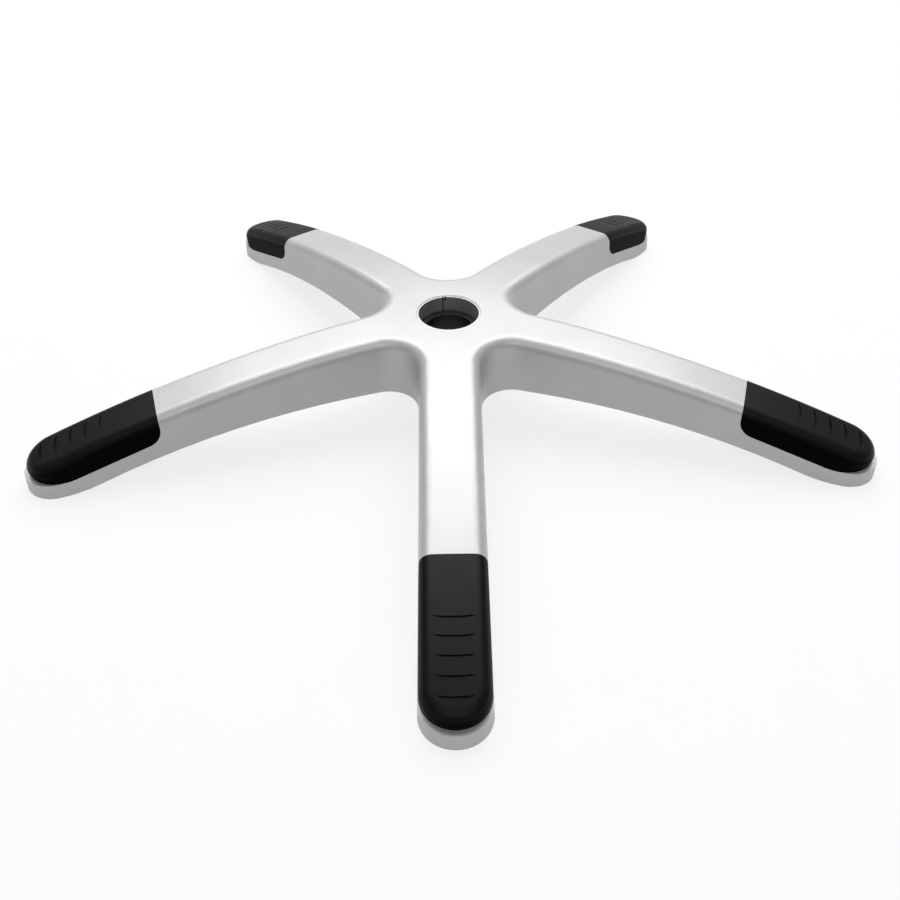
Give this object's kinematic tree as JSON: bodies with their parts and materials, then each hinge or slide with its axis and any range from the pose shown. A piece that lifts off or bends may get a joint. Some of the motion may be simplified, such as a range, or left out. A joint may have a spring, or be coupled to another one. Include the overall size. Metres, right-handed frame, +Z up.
{
  "type": "office chair base",
  "caption": "Star base for a swivel chair: hollow cast arms curve down from a bored hub to caster sockets, each end capped by a dark grooved foot pad.",
  "frame": {"origin": "on the column's axis, on the plane that the arm ends stand on", "axes": "+Z up along the column's axis; arm 1 points along -Y, towards the picture's lower edge; +X to the picture's right"},
  "size_m": [0.6718, 0.6414, 0.086],
  "materials": {
    "silver_casting": "satin silver",
    "dark_steel": "dark, lightly oiled",
    "black_moulding": "fine matte grain",
    "zinc_steel": "bright zinc"
  },
  "bodies": {
    "root": {"star_base": "silver_casting", "column_sleeve": "dark_steel", "foot_pad_1": "black_moulding", "foot_pad_2": "black_moulding", "foot_pad_3": "black_moulding", "foot_pad_4": "black_moulding", "foot_pad_5": "black_moulding", "pad_screw_inner_1": "zinc_steel", "pad_screw_inner_2": "zinc_steel", "pad_screw_inner_3": "zinc_steel", "pad_screw_inner_4": "zinc_steel", "pad_screw_inner_5": "zinc_steel", "pad_screw_outer_1": "zinc_steel", "pad_screw_outer_2": "zinc_steel", "pad_screw_outer_3": "zinc_steel", "pad_screw_outer_4": "zinc_steel", "pad_screw_outer_5": "zinc_steel"}
  },
  "joints": []
}
